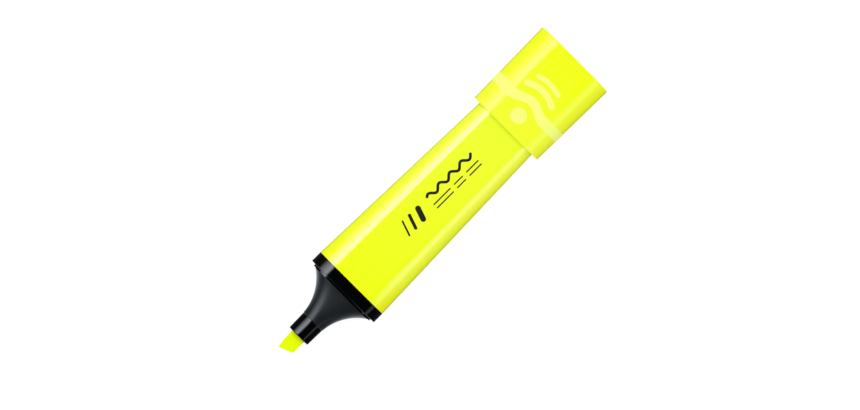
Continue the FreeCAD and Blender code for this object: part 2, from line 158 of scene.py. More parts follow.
class Net:
    """A node tree that is written as expressions."""

    def __init__(self, tree):
        self.tree = tree
        tree.nodes.clear()

    def node(self, kind, settings=None, sockets=None, out=0):
        """Adds a node: its settings first, then the values or wires of its sockets. Gives one output."""
        made = self.tree.nodes.new(kind)
        for key, value in (settings or {}).items():
            if key == "stops":
                self.set_stops(made.color_ramp, value)
            else:
                setattr(made, key, value)
        for key, value in (sockets or {}).items():
            if isinstance(value, Wire):
                self.tree.links.new(value.socket, made.inputs[key])
            else:
                made.inputs[key].default_value = value
        return Wire(self, made.outputs[out]) if len(made.outputs) else None

    def set_stops(self, ramp, stops):
        """Grey stops of a colour ramp, as (position, level) from first to last."""
        for stop, (position, level) in zip((ramp.elements[0], ramp.elements[1]), (stops[0], stops[-1])):
            stop.position = position
            stop.color = (level, level, level, 1)
        for position, level in stops[1:-1]:
            ramp.elements.new(position).color = (level, level, level, 1)

    def math(self, operation, *values):
        """A Math node, or a Vector Math node where a value is a vector."""
        on_vectors = any(isinstance(v, Wire) and v.socket.type == "VECTOR" for v in values)
        kind = "ShaderNodeVectorMath" if on_vectors else "ShaderNodeMath"
        return self.node(kind, {"operation": operation}, dict(enumerate(values)))

    def mix(self, share, first, second):
        """A colour between two colours."""
        sockets = {"Factor": share, 6: first, 7: second}
        return self.node("ShaderNodeMix", {"data_type": "RGBA"}, sockets, 2)

    def parts(self, vector):
        """The x, y and z of a vector."""
        made = self.node("ShaderNodeSeparateXYZ", {}, {0: vector}).socket.node
        return [Wire(self, socket) for socket in made.outputs]

    def point(self, x, y, z):
        """A vector of three values."""
        return self.node("ShaderNodeCombineXYZ", {}, {0: x, 1: y, 2: z})

    def clamp(self, value):
        """A value kept between 0 and 1."""
        return self.node("ShaderNodeClamp", {}, {0: value})

    def attribute(self, name):
        """The named number that each point carries."""
        return self.node("GeometryNodeInputNamedAttribute", {"data_type": "FLOAT"}, {"Name": name})

    def lay(self, geometry, target):
        """Moves each vertex to its own target."""
        return self.node("GeometryNodeSetPosition", {}, {"Geometry": geometry, "Position": target})


# %% [markdown]
# ## Shapes as Geometry Nodes
#
# A geometry tree runs on an object and gives a mesh. The first helper makes a tree with named inputs, of
# which the last two are always where its origin goes and its finish. Another sets the inputs on a modifier
# by each socket's identifier, evaluates it once, and keeps the result as a plain mesh, so nothing live is
# left on the piece.

# %% Making a tree and growing a mesh from it
def geometry_tree(name, inputs):
    """A new tree with one geometry in, one out, and named inputs, with an origin and a finish last."""
    tree = bpy.data.node_groups.new(name, "GeometryNodeTree")
    tree.interface.new_socket("Geometry", in_out="OUTPUT", socket_type="NodeSocketGeometry")
    tree.interface.new_socket("Geometry", in_out="INPUT", socket_type="NodeSocketGeometry")
    for label, value in {**inputs, "Origin": (0.0, 0.0, 0.0), "Finish": None}.items():
        kind = {int: "NodeSocketInt", float: "NodeSocketFloat", tuple: "NodeSocketVector"}.get(type(value))
        socket = tree.interface.new_socket(label, in_out="INPUT", socket_type=kind or "NodeSocketMaterial")
        if kind:
            socket.default_value = value
    net = Net(tree)
    group = net.node("NodeGroupInput").socket.node
    return net, {socket.name: Wire(net, socket) for socket in group.outputs if socket.name}


def close_tree(net, geometry, paint):
    """Ends a tree in Realize Instances and Set Material."""
    whole = net.node("GeometryNodeRealizeInstances", {}, {"Geometry": geometry})
    painted = net.node("GeometryNodeSetMaterial", {}, {"Geometry": whole, "Material": paint})
    net.node("NodeGroupOutput", {}, {0: painted})
    return net.tree


def place(name, mesh):
    """A new object for a finished mesh."""
    piece = bpy.data.objects.new(name, mesh)
    bpy.context.scene.collection.objects.link(piece)
    return piece


def evaluated_copy(maker, name):
    """A plain mesh object made from an object with its modifiers. The maker is removed."""
    graph = bpy.context.evaluated_depsgraph_get()
    mesh = bpy.data.meshes.new_from_object(maker.evaluated_get(graph))
    bpy.data.objects.remove(maker)
    mesh.name = name
    return place(name, mesh)


def grow(name, tree, source, finish, values, origin=PEN):
    """Runs a geometry tree on a source mesh and keeps the result as a plain mesh piece."""
    values = {**values, "Origin": tuple(origin), "Finish": finish}
    maker = place(name + "_maker", source)
    modifier = maker.modifiers.new("Grow", "NODES")
    modifier.node_group = tree
    for item in tree.interface.items_tree:
        if item.in_out == "INPUT" and item.name in values:
            modifier[item.identifier] = values[item.name]
    return evaluated_copy(maker, name)


def point_mesh(name, points, **attributes):
    """A mesh of loose points in order, with float attributes on them."""
    mesh = bpy.data.meshes.new(name)
    mesh.from_pydata(points, [], [])
    for label, values in attributes.items():
        mesh.attributes.new(label, "FLOAT", "POINT").data.foreach_set("value", values)
    return mesh


def soften(piece, degrees=32):
    """Smooth shading, with the edges sharper than that angle kept crisp."""
    piece.data.shade_smooth()
    piece.data.set_sharp_from_angle(angle=math.radians(degrees))
    print(f"{piece.name}: {len(piece.data.polygons)} faces")
    return piece


# %% [markdown]
# ## The racetrack lathe
#
# The barrel, the cap and the band on the cap share one rule. Cut the pen anywhere and the section is a
# racetrack: two flats of constant length joined by half circles. Only the radius changes along the pen.
# So one outline, drawn as stations and radii, is enough for a whole moulding, inner wall included. It
# could be a loft with a modifier stack, but a tree that carries each outline point round the racetrack
# says the rule itself, and a flat of length zero makes it an ordinary lathe.
#
# A hump can be added: it slides the outline along the pen by a cosine across each broad face, and the
# taper lifts it by as much as the moulding grows there.

# %% The lathe's tree
def outline_sheet(net, outline, columns):
    """A sheet with one row per outline point: the sheet, then each vertex's row, column and point."""
    stations = net.node("GeometryNodeAttributeDomainSize", {}, {0: outline})
    sheet = net.node("GeometryNodeMeshGrid", {}, {2: stations, 3: columns + 1})
    index = net.node("GeometryNodeInputIndex")
    row = net.math("FLOOR", index / (columns + 1))
    column = net.math("MODULO", index - row * (columns + 1), columns)
    here = net.node("GeometryNodeInputPosition")
    sampled = net.node(
        "GeometryNodeSampleIndex",
        {"data_type": "FLOAT_VECTOR"},
        {"Geometry": outline, "Value": here, "Index": row},
    )
    return sheet, row, column, sampled


def close_sheet(net, sheet, target, paint):
    """Lays a sheet on its targets, welds its seam and ends the tree."""
    laid = net.lay(sheet, target)
    closed = net.node("GeometryNodeMergeByDistance", {}, {"Geometry": laid, "Distance": 1e-6})
    return close_tree(net, closed, paint)


def racetrack_lathe():
    net, given = geometry_tree(
        "racetrack_lathe",
        {
            "Half Flat": 0.006,
            "Arc Steps": 48,
            "Flat Steps": 12,
            "Hump Rise": 0.0,
            "Hump Reach": 1.0,
            "Hump Taper": 0.0,
            "Hump Centre": 0.0,
            "Hump Narrowing": 0.0,
        },
    )
    half_round = given["Arc Steps"] + given["Flat Steps"]
    sheet, _, column, sampled = outline_sheet(net, given["Geometry"], half_round * 2)
    side = net.math("FLOOR", column / half_round)
    step = column - side * half_round
    on_arc = net.math("MINIMUM", step, given["Arc Steps"])
    on_flat = net.math("MAXIMUM", step - given["Arc Steps"], 0.0)
    turn = on_arc / given["Arc Steps"] * math.pi - math.pi / 2
    sign = 1 - side * 2

    along, _, radius = net.parts(sampled)
    centre = given["Half Flat"] * (1 - on_flat / given["Flat Steps"] * 2)
    across_flat = net.math("ABSOLUTE", centre + radius * net.math("COSINE", turn))
    share = net.math("MINIMUM", across_flat / given["Hump Reach"], 1.0)
    lift = net.math("COSINE", share * math.pi) * 0.5 + 0.5
    slide = given["Hump Rise"] * lift
    narrowed = (along - given["Hump Centre"]) * (1 - given["Hump Narrowing"] * lift)
    grown = radius + slide * given["Hump Taper"]
    y = sign * (centre + grown * net.math("COSINE", turn))
    z = sign * grown * net.math("SINE", turn)
    target = net.point(given["Hump Centre"] + narrowed + slide, y, z) + given["Origin"]
    return close_sheet(net, sheet, target, given["Finish"])


LATHE = racetrack_lathe()


# %% [markdown]
# ## Outlines with rounded corners
#
# No moulded edge is sharp: the tool is polished and the plastic shrinks. An outline is listed as its
# corners, each with the radius that rounds it. A short guard distance beside each rounding gets a point
# of its own, so that smooth shading doesn't smear the corner over the long wall next to it.

# %% Rounding an outline and turning it
ROUND_STEPS = 6
GUARD = 0.04


def rounded(corners):
    """The points of an outline whose corners (x, r, rounding) are replaced by arcs with guard points."""
    points = []
    for k, (x, r, rounding) in enumerate(corners):
        corner = Vector((x, r))
        if not rounding:
            points.append(corner)
            continue
        before = (Vector(corners[k - 1][:2]) - corner).normalized()
        after = (Vector(corners[(k + 1) % len(corners)][:2]) - corner).normalized()
        half = before.angle(after) / 2
        reach = rounding / math.tan(half)
        centre = corner + (before + after).normalized() * rounding / math.sin(half)
        start = (corner + before * reach - centre).normalized()
        end = (corner + after * reach - centre).normalized()
        points.append(corner + before * (reach + GUARD))
        for step in range(ROUND_STEPS + 1):
            share = step / ROUND_STEPS
            points.append(centre + start.slerp(end, share) * rounding)
        points.append(corner + after * (reach + GUARD))
    return points


def turned(name, corners, finish, half_flat=HALF_FLAT, **hump):
    """A moulding turned from an outline on the racetrack lathe."""
    points = [(p.x * MM, 0, p.y * MM) for p in rounded(corners)]
    values = {"Half Flat": half_flat * MM, **hump}
    return soften(grow(name, LATHE, point_mesh(name + "_outline", points), finish, values))

# %% [markdown]
# ## Fluorescent polypropylene
#
# The barrel and the cap are polished polypropylene loaded with a daylight-fluorescent pigment. It is
# nearly as bright as a surface can be in green and red and sends back almost no blue. Each piece is
# painted paler from a deep end toward the cap's mouth: a painted veil of reflected light in its colour.
# Its only relief is a faint ripple from cooling, a far finer peel that softens what it mirrors, and a
# hairline where the two halves of the mould meet.
# The satin areas are the same plastic with a spark-eroded grain in the tool, which scatters white light.
# That pale sheen is painted into their colour.

# %% Finish helpers and the yellow plastics
DEEP_YELLOW = (0.915, 0.985, 0.0062, 1)
# Painted light: this pale yellow stands for a veil of reflected light, painted into the colour.
PAINTED_VEIL_YELLOW = (0.92, 0.985, 0.030, 1)
# Painted light: both satin colours are paled by a painted white sheen of scattered light.
SATIN_PAINTED_SHEEN_YELLOW = (0.93, 0.985, 0.170, 1)
SATIN_PAINTED_SHEEN_PALE = (0.94, 0.985, 0.200, 1)
COOLING_RIPPLE = 0.004
SEAM_RIDGE = 0.012
PEEL_SIZE = 0.35


def finish(name, recipe, **constants):
    """A material. The recipe gives the sockets that vary over the surface; the rest are constants."""
    made = bpy.data.materials.new(name)
    made.use_nodes = True
    net = Net(made.node_tree)
    where = net.node("ShaderNodeTexCoord", out="Object")
    sockets = {key.replace("_", " "): value for key, value in constants.items()}
    sockets.update(recipe(net, where))
    surface = net.node("ShaderNodeBsdfPrincipled", {}, sockets)
    net.node("ShaderNodeOutputMaterial", {}, {"Surface": surface})
    return made


def speckle(net, where, size_mm, detail=2.0, stretch=(1, 1, 1)):
    """Noise from 0 to 1 whose grains are about size_mm across, drawn out along an axis by stretch."""
    grain = 1 / (size_mm * MM)
    scaled = net.node("ShaderNodeMapping", {}, {"Vector": where, "Scale": [grain / s for s in stretch]})
    return net.node("ShaderNodeTexNoise", {}, {"Vector": scaled, "Scale": 1.0, "Detail": detail})


def bump(net, height, depth_mm):
    """A normal from a height between 0 and 1 that stands for depth_mm."""
    return net.node("ShaderNodeBump", {}, {"Height": height, "Distance": depth_mm * MM, "Strength": 1.0})


def parting_line(net, where, width_mm=0.07):
    """1 on the hairline where the two halves of the mould meet, halfway up the narrow sides."""
    _, _, z = net.parts(where)
    off = net.math("ABSOLUTE", z - AXIS_Z)
    return net.clamp(1 - off / (width_mm * MM))


def yellow_plastic(name, deep_x, painted_veil_x, smoothest, peel_mm, **shine):
    """Fluorescent plastic whose colour pales from a deep end to a painted veil of light, in pen stations.

    The peel is a fine ripple of that height, which spreads every reflection a little.
    """

    def recipe(net, where):
        x, _, _ = net.parts(where)
        # Painted light: the colour pales from deep_x toward the other station, a painted veil of
        # reflection.
        run = net.clamp((x - (SHOULDER + deep_x * MM)) / ((painted_veil_x - deep_x) * MM))
        cloud = speckle(net, where, 14.0) - 0.5
        tone = net.mix(net.clamp(run + cloud * 0.35), DEEP_YELLOW, PAINTED_VEIL_YELLOW)
        cooling = speckle(net, where, 2.6)
        peel = speckle(net, where, PEEL_SIZE)
        handling = speckle(net, where, 5.0, 5.0)
        seam = parting_line(net, where)
        relief_mm = cooling * COOLING_RIPPLE + seam * SEAM_RIDGE + peel * peel_mm
        return {
            "Base Color": tone,
            "Roughness": handling * 0.07 + smoothest + seam * 0.2,
            "Normal": bump(net, relief_mm, 1.0),
        }

    return finish(name, recipe, IOR=1.5, **shine)


def satin_plastic(name):
    """The same plastic moulded against a spark-eroded surface, with a painted white sheen in its colour.
    """

    def recipe(net, where):
        grain = speckle(net, where, 0.13, 3.0)
        # Painted sheen: the grain mixes two colours that both carry a painted white sheen.
        return {
            "Base Color": net.mix(grain, SATIN_PAINTED_SHEEN_YELLOW, SATIN_PAINTED_SHEEN_PALE),
            "Roughness": grain * 0.15 + 0.5,
            "Normal": bump(net, grain, 0.010),
        }

    return finish(name, recipe, IOR=1.5, Specular_IOR_Level=0.3)


# Both yellows are painted paler toward the cap's mouth: a painted veil of reflected light.
BARREL_YELLOW = yellow_plastic(
    "barrel_yellow_gloss", deep_x=0, painted_veil_x=62, smoothest=0.05, peel_mm=0.007, Specular_IOR_Level=0.8
)
CAP_YELLOW = yellow_plastic(
    "cap_yellow_soft_gloss", deep_x=92, painted_veil_x=66, smoothest=0.07, peel_mm=0.026, Specular_IOR_Level=0.4
)
SATIN = satin_plastic("cap_yellow_satin_painted_sheen")

# %% [markdown]
# ## The black front end
#
# Collar, lip and nozzle are one black moulding, polished where the fingers don't go. Deep black shows
# nothing of its own colour, so its look is all reflection: low roughness, a faint cooling ripple and fine
# handling marks. The grip is a soft skin, charcoal rather than black, whose fine grain spreads every
# reflection into a glow along the flare.

# %% Black gloss, soft charcoal, and the printing ink
def black_recipe(net, where):
    handling = speckle(net, where, 3.0, 6.0)
    cooling = speckle(net, where, 2.2)
    rub = speckle(net, where, 0.25, 3.0, stretch=(1, 6, 6))
    return {
        "Base Color": net.mix(handling, (0.0008, 0.0009, 0.0011, 1), (0.0018, 0.0019, 0.0021, 1)),
        "Roughness": handling * 0.03 + 0.035 + rub * 0.02,
        "Normal": bump(net, cooling, 0.004),
    }


def grip_recipe(net, where):
    grain = speckle(net, where, 0.16, 3.0)
    touch = speckle(net, where, 3.5, 4.0)
    charcoal = net.mix(touch, (0.0075, 0.0085, 0.0100, 1), (0.0105, 0.0120, 0.0140, 1))
    return {
        "Base Color": net.mix(grain * 0.5, charcoal, (0.016, 0.018, 0.021, 1)),
        "Roughness": touch * 0.08 + 0.27,
        "Normal": bump(net, grain, 0.006),
    }


def ink_recipe(net, where):
    grain = speckle(net, where, 0.2, 3.0)
    return {
        "Base Color": net.mix(grain, (0.003, 0.003, 0.002, 1), (0.009, 0.009, 0.006, 1)),
        "Roughness": grain * 0.15 + 0.3,
        "Normal": bump(net, grain, 0.002),
    }


BLACK = finish("section_black_gloss", black_recipe, IOR=1.5, Specular_IOR_Level=0.45)
GRIP = finish(
    "grip_soft_charcoal",
    grip_recipe,
    IOR=1.5,
    Specular_IOR_Level=0.32,
    Sheen_Weight=0.25,
    Sheen_Roughness=0.3,
    Sheen_Tint=(0.85, 0.92, 1.0, 1),
)
INK = finish("print_black_ink", ink_recipe, IOR=1.5, Specular_IOR_Level=0.25)

# %% [markdown]
# ## Fibre, film and the inner cap
#
# The nib is a block of fibres bonded side by side and ground to a chisel, soaked through with ink; its
# fibres run along the pen, so its noise is drawn out that way. The reservoir is the same idea, looser
# and in a milky film. The inner cap is unpigmented polyethylene: waxy, pale and a little translucent.

# %% Nib, reservoir, film and liner finishes
def fibre(name, dark, light, size_mm, rough):
    """Bundled fibres that run along the pen."""

    def recipe(net, where):
        strands = speckle(net, where, size_mm, 4.0, stretch=(14, 1, 1))
        soak = speckle(net, where, 1.6, 3.0)
        return {
            "Base Color": net.mix(net.clamp(strands * 0.7 + soak * 0.5 - 0.1), dark, light),
            "Roughness": strands * 0.2 + rough,
            "Normal": bump(net, strands, 0.05),
        }

    return finish(name, recipe, IOR=1.4, Specular_IOR_Level=0.1)


def film_recipe(net, where):
    crimp = net.node("ShaderNodeTexWave", {"wave_type": "BANDS"}, {"Vector": where, "Scale": 180.0})
    haze = speckle(net, where, 2.0, 4.0)
    return {
        "Base Color": net.mix(haze, (0.74, 0.82, 0.20, 1), (0.86, 0.90, 0.42, 1)),
        "Roughness": haze * 0.15 + 0.2,
        "Normal": bump(net, crimp, 0.01),
    }


def liner_recipe(net, where):
    haze = speckle(net, where, 4.0, 3.0)
    grain = speckle(net, where, 0.3, 2.0)
    return {
        "Base Color": net.mix(haze, (0.80, 0.84, 0.66, 1), (0.88, 0.90, 0.78, 1)),
        "Roughness": grain * 0.12 + 0.38,
        "Normal": bump(net, grain, 0.006),
    }


NIB = fibre("nib_ink_soaked_fibre", (0.73, 0.905, 0.0, 1), (0.88, 0.995, 0.0, 1), 0.09, 0.62)
RESERVOIR = fibre("reservoir_ink_soaked_fibre", (0.50, 0.66, 0.02, 1), (0.80, 0.92, 0.10, 1), 0.14, 0.7)
FILM = finish("reservoir_milky_film", film_recipe, IOR=1.45)
LINER = finish(
    "liner_natural_polyethylene",
    liner_recipe,
    IOR=1.5,
    Subsurface_Weight=0.15,
    Subsurface_Radius=(0.002, 0.002, 0.001),
)

for node, look in (
    ("front_section", BLACK),
    ("ink_reservoir", RESERVOIR),
    ("reservoir_wrap", FILM),
    ("cap_liner", LINER),
):
    for material_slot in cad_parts[node].material_slots:
        material_slot.material = look

# %% [markdown]
# ## Barrel
#
# One injection moulding: a closed, rounded tail, a long taper, an open mouth that takes the black plug,
# and a groove inside it for the plug's snap bead. The lathe turns all of it from one outline. The round
# recess in the middle of the tail, where the plastic was let in, isn't part of the rule, so it is cut
# with a Boolean.

# %% The barrel and its gate recess
SNAP_X = 5.0
SNAP_LENGTH = 0.8
SNAP_HEIGHT = 0.15
SLIP = 0.03
SNAP_END_SLIP = 0.1


def gate_cut(piece, x, name):
    """Cuts the shallow round recess into a closed end at station x and gives the finished piece."""
    drill = bmesh.new()
    bmesh.ops.create_cone(
        drill,
        cap_ends=True,
        segments=GATE_SIDES,
        radius1=GATE_R * MM,
        radius2=GATE_R * MM,
        depth=2 * GATE_DEPTH * MM,
    )
    bmesh.ops.rotate(drill, verts=drill.verts, matrix=Matrix.Rotation(math.pi / 2, 3, "Y"))
    bmesh.ops.translate(drill, verts=drill.verts, vec=PEN + Vector((x * MM, 0, 0)))
    tool_mesh = bpy.data.meshes.new("gate_drill")
    drill.to_mesh(tool_mesh)
    drill.free()
    tool = place("gate_drill", tool_mesh)
    cut = piece.modifiers.new("Gate", "BOOLEAN")
    cut.operation = "DIFFERENCE"
    cut.solver = "EXACT"
    cut.object = tool
    finished = evaluated_copy(piece, name)
    bpy.data.objects.remove(tool)
    return soften(finished)


def barrel_outline():
    floor = BARREL_LENGTH - WALL
    snap_front = SNAP_X - SNAP_END_SLIP
    snap_rear = SNAP_X + SNAP_LENGTH + SNAP_END_SLIP
    groove = barrel_r(SNAP_X) - WALL + SNAP_HEIGHT + SLIP
    return [
        (BARREL_LENGTH, 0, 0),
        (BARREL_LENGTH, BARREL_REAR_R, 1.0),
        (0, BARREL_FRONT_R, 0.12),
        (0, BARREL_FRONT_R - WALL, 0),
        (snap_front, barrel_r(snap_front) - WALL, 0),
        (snap_front, groove, 0),
        (snap_rear, groove, 0),
        (snap_rear, barrel_r(snap_rear) - WALL, 0),
        (floor, barrel_r(floor) - WALL, 0.5),
        (floor, 0, 0),
    ]


barrel = gate_cut(turned("barrel_turned", barrel_outline(), BARREL_YELLOW), BARREL_LENGTH, "barrel_body")
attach(barrel, "pen")
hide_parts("barrel")

# %% [markdown]
# ## Ribs inside the mouldings
#
# Ribs hold one part in another with little contact, and keep a thin wall stiff. Those in the barrel centre
# the reservoir; those in the cap grip the barrel's tail, so their crests follow its taper. All are one
# wedge, repeated: a tree shapes a cube into the wedge and puts a copy on every point it is given, turned
# by the point's own attribute. The crest is crowned, as a cutter leaves it.

# %% Wedge ribs on points
RIB_THICKNESS = 0.9
RIB_CROWN = 0.1


def wedge_ribs():
    net, given = geometry_tree(
        "wedge_ribs",
        {
            "Start": 0.0,
            "End": 0.01,
            "Thickness": 0.0009,
            "Crown": 0.0001,
            "Crest Start": 0.005,
            "Crest End": 0.005,
            "Root Start": 0.006,
            "Root End": 0.006,
        },
    )
    cube = net.node(
        "GeometryNodeMeshCube",
        {},
        {"Size": (1, 1, 1), "Vertices X": 2, "Vertices Y": 7, "Vertices Z": 2},
    )
    x, y, z = net.parts(net.node("GeometryNodeInputPosition"))
    along = x + 0.5
    outward = z + 0.5
    crest = given["Crest Start"] + (given["Crest End"] - given["Crest Start"]) * along
    crest = crest + given["Crown"] * y * y * 4
    root = given["Root Start"] + (given["Root End"] - given["Root Start"]) * along
    target = net.point(
        given["Start"] + (given["End"] - given["Start"]) * along,
        y * given["Thickness"],
        crest + (root - crest) * outward,
    )
    wedge = net.lay(cube, target)
    facing = net.node("FunctionNodeEulerToRotation", {}, {0: net.point(net.attribute("turn"), 0.0, 0.0)})
    copies = net.node(
        "GeometryNodeInstanceOnPoints",
        {},
        {"Points": given["Geometry"], "Instance": wedge, "Rotation": facing},
    )
    moved = net.node("GeometryNodeTransform", {}, {"Geometry": copies, "Translation": given["Origin"]})
    return close_tree(net, moved, given["Finish"])


RIBS = wedge_ribs()


def ribs(name, finish, x0, x1, crest, root, spots):
    """Wedges from x0 to x1 whose crests and roots follow two radii, at (y, turn) spots round the axis."""
    points = point_mesh(name + "_points", [(0, y * MM, 0) for y, _ in spots], turn=[t for _, t in spots])
    values = {
        "Start": x0 * MM,
        "End": x1 * MM,
        "Thickness": RIB_THICKNESS * MM,
        "Crown": RIB_CROWN * MM,
        "Crest Start": crest(x0) * MM,
        "Crest End": crest(x1) * MM,
        "Root Start": root(x0) * MM,
        "Root End": root(x1) * MM,
    }
    return soften(grow(name, RIBS, points, finish, values))


def rib_spots(y):
    """Two ribs on each broad face, y from the middle, and one on each narrow side."""
    broad = [(side * y, turn) for side in (-1, 1) for turn in (0, math.pi)]
    return broad + [(side * HALF_FLAT, -side * math.pi / 2) for side in (-1, 1)]


# %% Ribs of the barrel
RIB_ROOT_DEPTH = 0.5
PLUG_LENGTH = 9.0
RESERVOIR_HOLD_R = 3.48
RESERVOIR_RIB_Y = 2.9

_, wrap_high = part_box("reservoir_wrap")
side_hold = wrap_high.y / MM + SLIP - HALF_FLAT


def barrel_rib_root(x):
    return barrel_r(x) - WALL + RIB_ROOT_DEPTH


broad_ribs = ribs(
    "barrel_ribs",
    BARREL_YELLOW,
    PLUG_LENGTH + 1,
    BARREL_LENGTH - WALL / 2,
    lambda x: RESERVOIR_HOLD_R,
    barrel_rib_root,
    rib_spots(RESERVOIR_RIB_Y)[:4],
)
side_ribs = ribs(
    "barrel_side_ribs",
    BARREL_YELLOW,
    PLUG_LENGTH + 1,
    BARREL_LENGTH - WALL / 2,
    lambda x: side_hold,
    barrel_rib_root,
    rib_spots(RESERVOIR_RIB_Y)[4:],
)
for piece in (broad_ribs, side_ribs):
    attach(piece, "pen")

# %% [markdown]
# ## The grip
#
# The soft skin flares from the round nozzle to the flat collar along a concave arc. Its section changes
# from a circle to a rounded rectangle, which a superellipse does with one number, its power. So the skin
# is a ring of stations, each with a half width, a half thickness and a power, and a tree draws the
# superellipse at each. The ring runs along the outside, round the two rims and back along the inside.

# %% The grip's tree
def superellipse_loft():
    net, given = geometry_tree("superellipse_loft", {"Around": 144})
    ring = given["Geometry"]
    sheet, row, column, sampled = outline_sheet(net, ring, given["Around"])
    turn = column / given["Around"] * math.tau
    along, half_width, half_thick = net.parts(sampled)
    own_power = net.attribute("power")
    power = net.node("GeometryNodeSampleIndex", {}, {"Geometry": ring, "Value": own_power, "Index": row})

    def bulge(wave):
        size = net.math("ABSOLUTE", wave) ** (2 / power)
        return net.math("SIGN", wave) * size

    y = half_width * bulge(net.math("COSINE", turn))
    z = half_thick * bulge(net.math("SINE", turn))
    return close_sheet(net, sheet, net.point(along, y, z) + given["Origin"], given["Finish"])


SUPERELLIPSE = superellipse_loft()

# %% The grip's rule and its skin
GRIP_REAR = station(grip_high.x)
GRIP_FRONT = station(grip_low.x)
GRIP_REAR_HALF_WIDTH = 11.16
GRIP_REAR_HALF_THICK = (grip_high.z - grip_low.z) / 2 / MM
GRIP_FRONT_R = 3.98
GRIP_FLARE_R = 16.0
GRIP_POWER = 3.0
SKIN_REAR = 1.0
SKIN_FRONT = 0.4
STATION_STEP = 0.4


def flare_half_width(x):
    """Half width of the grip: a concave arc from the collar to the nozzle."""
    rear = Vector((-GRIP_REAR, GRIP_REAR_HALF_WIDTH))
    front = Vector((-GRIP_FRONT, GRIP_FRONT_R))
    chord = front - rear
    arm = math.sqrt(GRIP_FLARE_R**2 - (chord.length / 2) ** 2)
    centre = (rear + front) / 2 + Vector((-chord.y, chord.x)).normalized() * arm
    return centre.y - math.sqrt(GRIP_FLARE_R**2 - (-x - centre.x) ** 2)


def flare_half_thick(x):
    """Half thickness of the grip: it follows the width, eased from rear to front."""
    share = max(0.0, between(flare_half_width(x), GRIP_FRONT_R, GRIP_REAR_HALF_WIDTH, 0, 1))
    return GRIP_FRONT_R + (GRIP_REAR_HALF_THICK - GRIP_FRONT_R) * share**0.8


def with_stations(points, step):
    """The same closed outline with points added where two are further apart than a step."""
    dense = []
    for k, point in enumerate(points):
        following = points[(k + 1) % len(points)]
        count = max(1, round((following - point).length / step))
        dense.extend(point.lerp(following, n / count) for n in range(count))
    return dense + dense[:1]


skin = rounded(
    [
        (GRIP_REAR, -SKIN_REAR, 0),
        (GRIP_REAR, 0, 0.28),
        (GRIP_FRONT, 0, 0.14),
        (GRIP_FRONT, -SKIN_FRONT, 0),
    ]
)
ring = []
powers = []
for x, inset in with_stations(skin, STATION_STEP):
    ring.append((x * MM, (flare_half_width(x) + inset) * MM, (flare_half_thick(x) + inset) * MM))
    powers.append(between(x, GRIP_REAR, GRIP_FRONT, GRIP_POWER, 2))
grip = soften(grow("grip_skin", SUPERELLIPSE, point_mesh("grip_ring", ring, power=powers), GRIP, {}))
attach(grip, "pen")
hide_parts("grip_sleeve")

# %% [markdown]
# ## The chisel nib
#
# A bonded-fibre nib is a bar with rounded corners, ground to a slanted, bevelled edge. Grinding is flat
# cuts, so the bar is cut by planes. Felt has no crisp edge after the first line is drawn: a fine voxel
# remesh softens every edge alike, and a little noise, drawn out along the fibres and only ever inward,
# leaves the surface uneven.

# %% Cutting the nib from a bar
NIB_WIDTH = (nib_high.y - nib_low.y) / MM
NIB_THICK = (nib_high.z - nib_low.z) / MM
NIB_TIP = station(nib_low.x)
NIB_REAR = station(nib_high.x)
NIB_CORNER_R = 0.6
NIB_SLANT = math.tan(math.radians(22))
NIB_EDGE_THICK = 1.5
NIB_BEVEL_LENGTH = 5.6
NIB_SIDE_CUT = 0.55
NIB_SIDE_CUT_LENGTH = 2.7
NIB_HEEL_CUT = 0.3
NIB_EASE_CUT = 0.3
NIB_EASE_LENGTH = 4.5
NIB_TAIL_TAPER = 1.2
NIB_VOXEL = 0.11
NIB_CREASE = 80
FIBRE_DEPTH = 0.03
FIBRE_SIZE = 0.28
FIBRE_DRAW = 9


def nib_bar():
    """The uncut bar: a rounded rectangle pushed along the pen."""
    shape = bmesh.new()
    section = []
    for quarter in range(4):
        corner_y = (NIB_WIDTH / 2 - NIB_CORNER_R) * (1 if quarter in (0, 3) else -1)
        corner_z = (NIB_THICK / 2 - NIB_CORNER_R) * (1 if quarter in (0, 1) else -1)
        for step in range(7):
            turn = math.pi / 2 * (quarter + step / 6)
            y = corner_y + NIB_CORNER_R * math.cos(turn)
            z = corner_z + NIB_CORNER_R * math.sin(turn)
            section.append(shape.verts.new(PEN + Vector((NIB_TIP, y, z)) * MM))
    face = shape.faces.new(section)
    pushed = bmesh.ops.extrude_face_region(shape, geom=[face])["geom"]
    moved = [g for g in pushed if isinstance(g, bmesh.types.BMVert)]
    bmesh.ops.translate(shape, verts=moved, vec=Vector((NIB_REAR - NIB_TIP, 0, 0)) * MM)
    bmesh.ops.recalc_face_normals(shape, faces=shape.faces)
    return shape


def shave(shape, point, outward):
    """Cuts off what lies beyond a plane and closes the cut."""
    cut = bmesh.ops.bisect_plane(
        shape,
        geom=shape.verts[:] + shape.edges[:] + shape.faces[:],
        plane_co=PEN + Vector(point) * MM,
        plane_no=Vector(outward),
        clear_outer=True,
    )["geom_cut"]
    rim = [g for g in cut if isinstance(g, bmesh.types.BMEdge)]
    bmesh.ops.contextual_create(shape, geom=rim)


